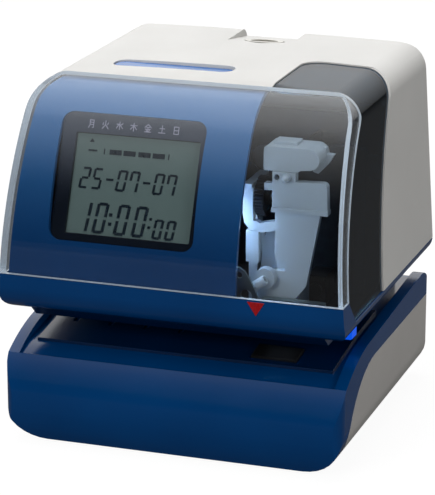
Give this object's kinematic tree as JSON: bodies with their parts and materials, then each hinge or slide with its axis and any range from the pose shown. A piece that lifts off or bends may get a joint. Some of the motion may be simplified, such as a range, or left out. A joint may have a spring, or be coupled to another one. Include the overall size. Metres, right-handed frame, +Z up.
{
  "type": "date and time stamp machine",
  "caption": "Desk date and time stamp machine with a card throat between base and head, a display, a clear lift-off cover and a print unit with ribbon drive.",
  "frame": {"origin": "centre of the footprint, on the underside of the rubber feet", "axes": "+Z up, the front with the display faces -Y, +X to the viewer's right"},
  "size_m": [0.1516, 0.1437, 0.1571],
  "materials": {
    "blue_plastic": "smooth moulded",
    "deep_blue_plastic": "smooth moulded",
    "grey_plastic": "fine moulded texture",
    "light_plastic": "fine moulded texture",
    "clear_plastic": "polished clear",
    "smoke_plastic": "polished smoked",
    "rubber": "matt",
    "plated_steel": "zinc plated",
    "black_plastic": "moulded",
    "bezel_plastic": "moulded",
    "display_glass": "polarised display glass",
    "display_ink": "display figures",
    "circuit_board": "solder resist",
    "red_paint": "printed mark",
    "lamp_lens": "glowing lens",
    "white_plastic": "natural white moulding",
    "bracket_metal": "grey painted sheet",
    "lock_metal": "nickel plated"
  },
  "bodies": {
    "body": {"base_front": "blue_plastic", "base_shell": "grey_plastic", "base_plate": "plated_steel", "rubber_feet": "rubber", "base_screws": "plated_steel", "paper_table": "deep_blue_plastic", "platen": "rubber", "neck": "deep_blue_plastic", "dc_jack": "black_plastic", "head_tray": "blue_plastic", "throat_guide": "deep_blue_plastic", "throat_lamp": "lamp_lens", "chassis": "plated_steel", "chassis_walls": "plated_steel", "front_panel": "blue_plastic", "lcd_bezel": "bezel_plastic", "lcd_module": "display_glass", "lcd_segments": "display_ink", "main_board": "circuit_board", "board_posts": "plated_steel", "pointer_marker": "red_paint", "print_frame": "white_plastic", "ribbon_cassette": "white_plastic", "gear_yoke": "white_plastic", "gear_shaft": "plated_steel", "ribbon_motor": "black_plastic", "guide_post": "white_plastic", "hole_bracket": "bracket_metal", "front_rail": "bracket_metal", "rear_board": "circuit_board", "trigger_bracket": "plated_steel", "trigger_pin": "plated_steel", "latch_pin": "white_plastic", "chassis_screws": "plated_steel"},
    "cover": {"top_cover": "light_plastic", "clear_cover": "clear_plastic", "side_window": "smoke_plastic", "lock_ring": "lock_metal", "bar_carrier": "black_plastic"},
    "lock": {"lock_barrel": "lock_metal", "lock_cam": "lock_metal"},
    "bar": {"push_bar": "blue_plastic"},
    "print_head": {"print_head": "black_plastic"},
    "ribbon_wheel": {"ribbon_gear": "black_plastic"},
    "drive_wheel": {"drive_gear": "black_plastic"},
    "trigger": {"card_trigger": "white_plastic"}
  },
  "joints": [
    {"name": "cover_lift", "type": "slide", "parent": "body", "child": "cover", "axis": [0, 0, 1], "range_m": [0, 0.1]},
    {"name": "lock_turn", "type": "hinge", "parent": "cover", "child": "lock", "pos_m": [0.002, 0.0505, 0.15568], "axis": [0, 0.1392, 0.9903], "range_deg": [0, 90]},
    {"name": "bar_press", "type": "slide", "parent": "cover", "child": "bar", "axis": [0, 0, -1], "range_m": [0, 0.0025], "stiffness_N_per_m": 400, "springref_m": -0.003},
    {"name": "head_strike", "type": "slide", "parent": "body", "child": "print_head", "axis": [0, 0, -1], "range_m": [0, 0.01], "stiffness_N_per_m": 300, "springref_m": -0.003},
    {"name": "drive_spin", "type": "hinge", "parent": "body", "child": "drive_wheel", "pos_m": [0.0321, -0.0283, 0.112], "axis": [1, 0, 0], "continuous": true},
    {"name": "ribbon_spin", "type": "hinge", "parent": "body", "child": "ribbon_wheel", "pos_m": [0.0321, -0.042, 0.112], "axis": [1, 0, 0], "continuous": true},
    {"name": "trigger_swing", "type": "hinge", "parent": "body", "child": "trigger", "pos_m": [0.02, -0.004, 0.068], "axis": [1, 0, 0], "range_deg": [0, 35]}
  ],
  "couplings": [
    {"joint": "ribbon_spin", "follows": "drive_spin", "ratio": -0.70588}
  ]
}
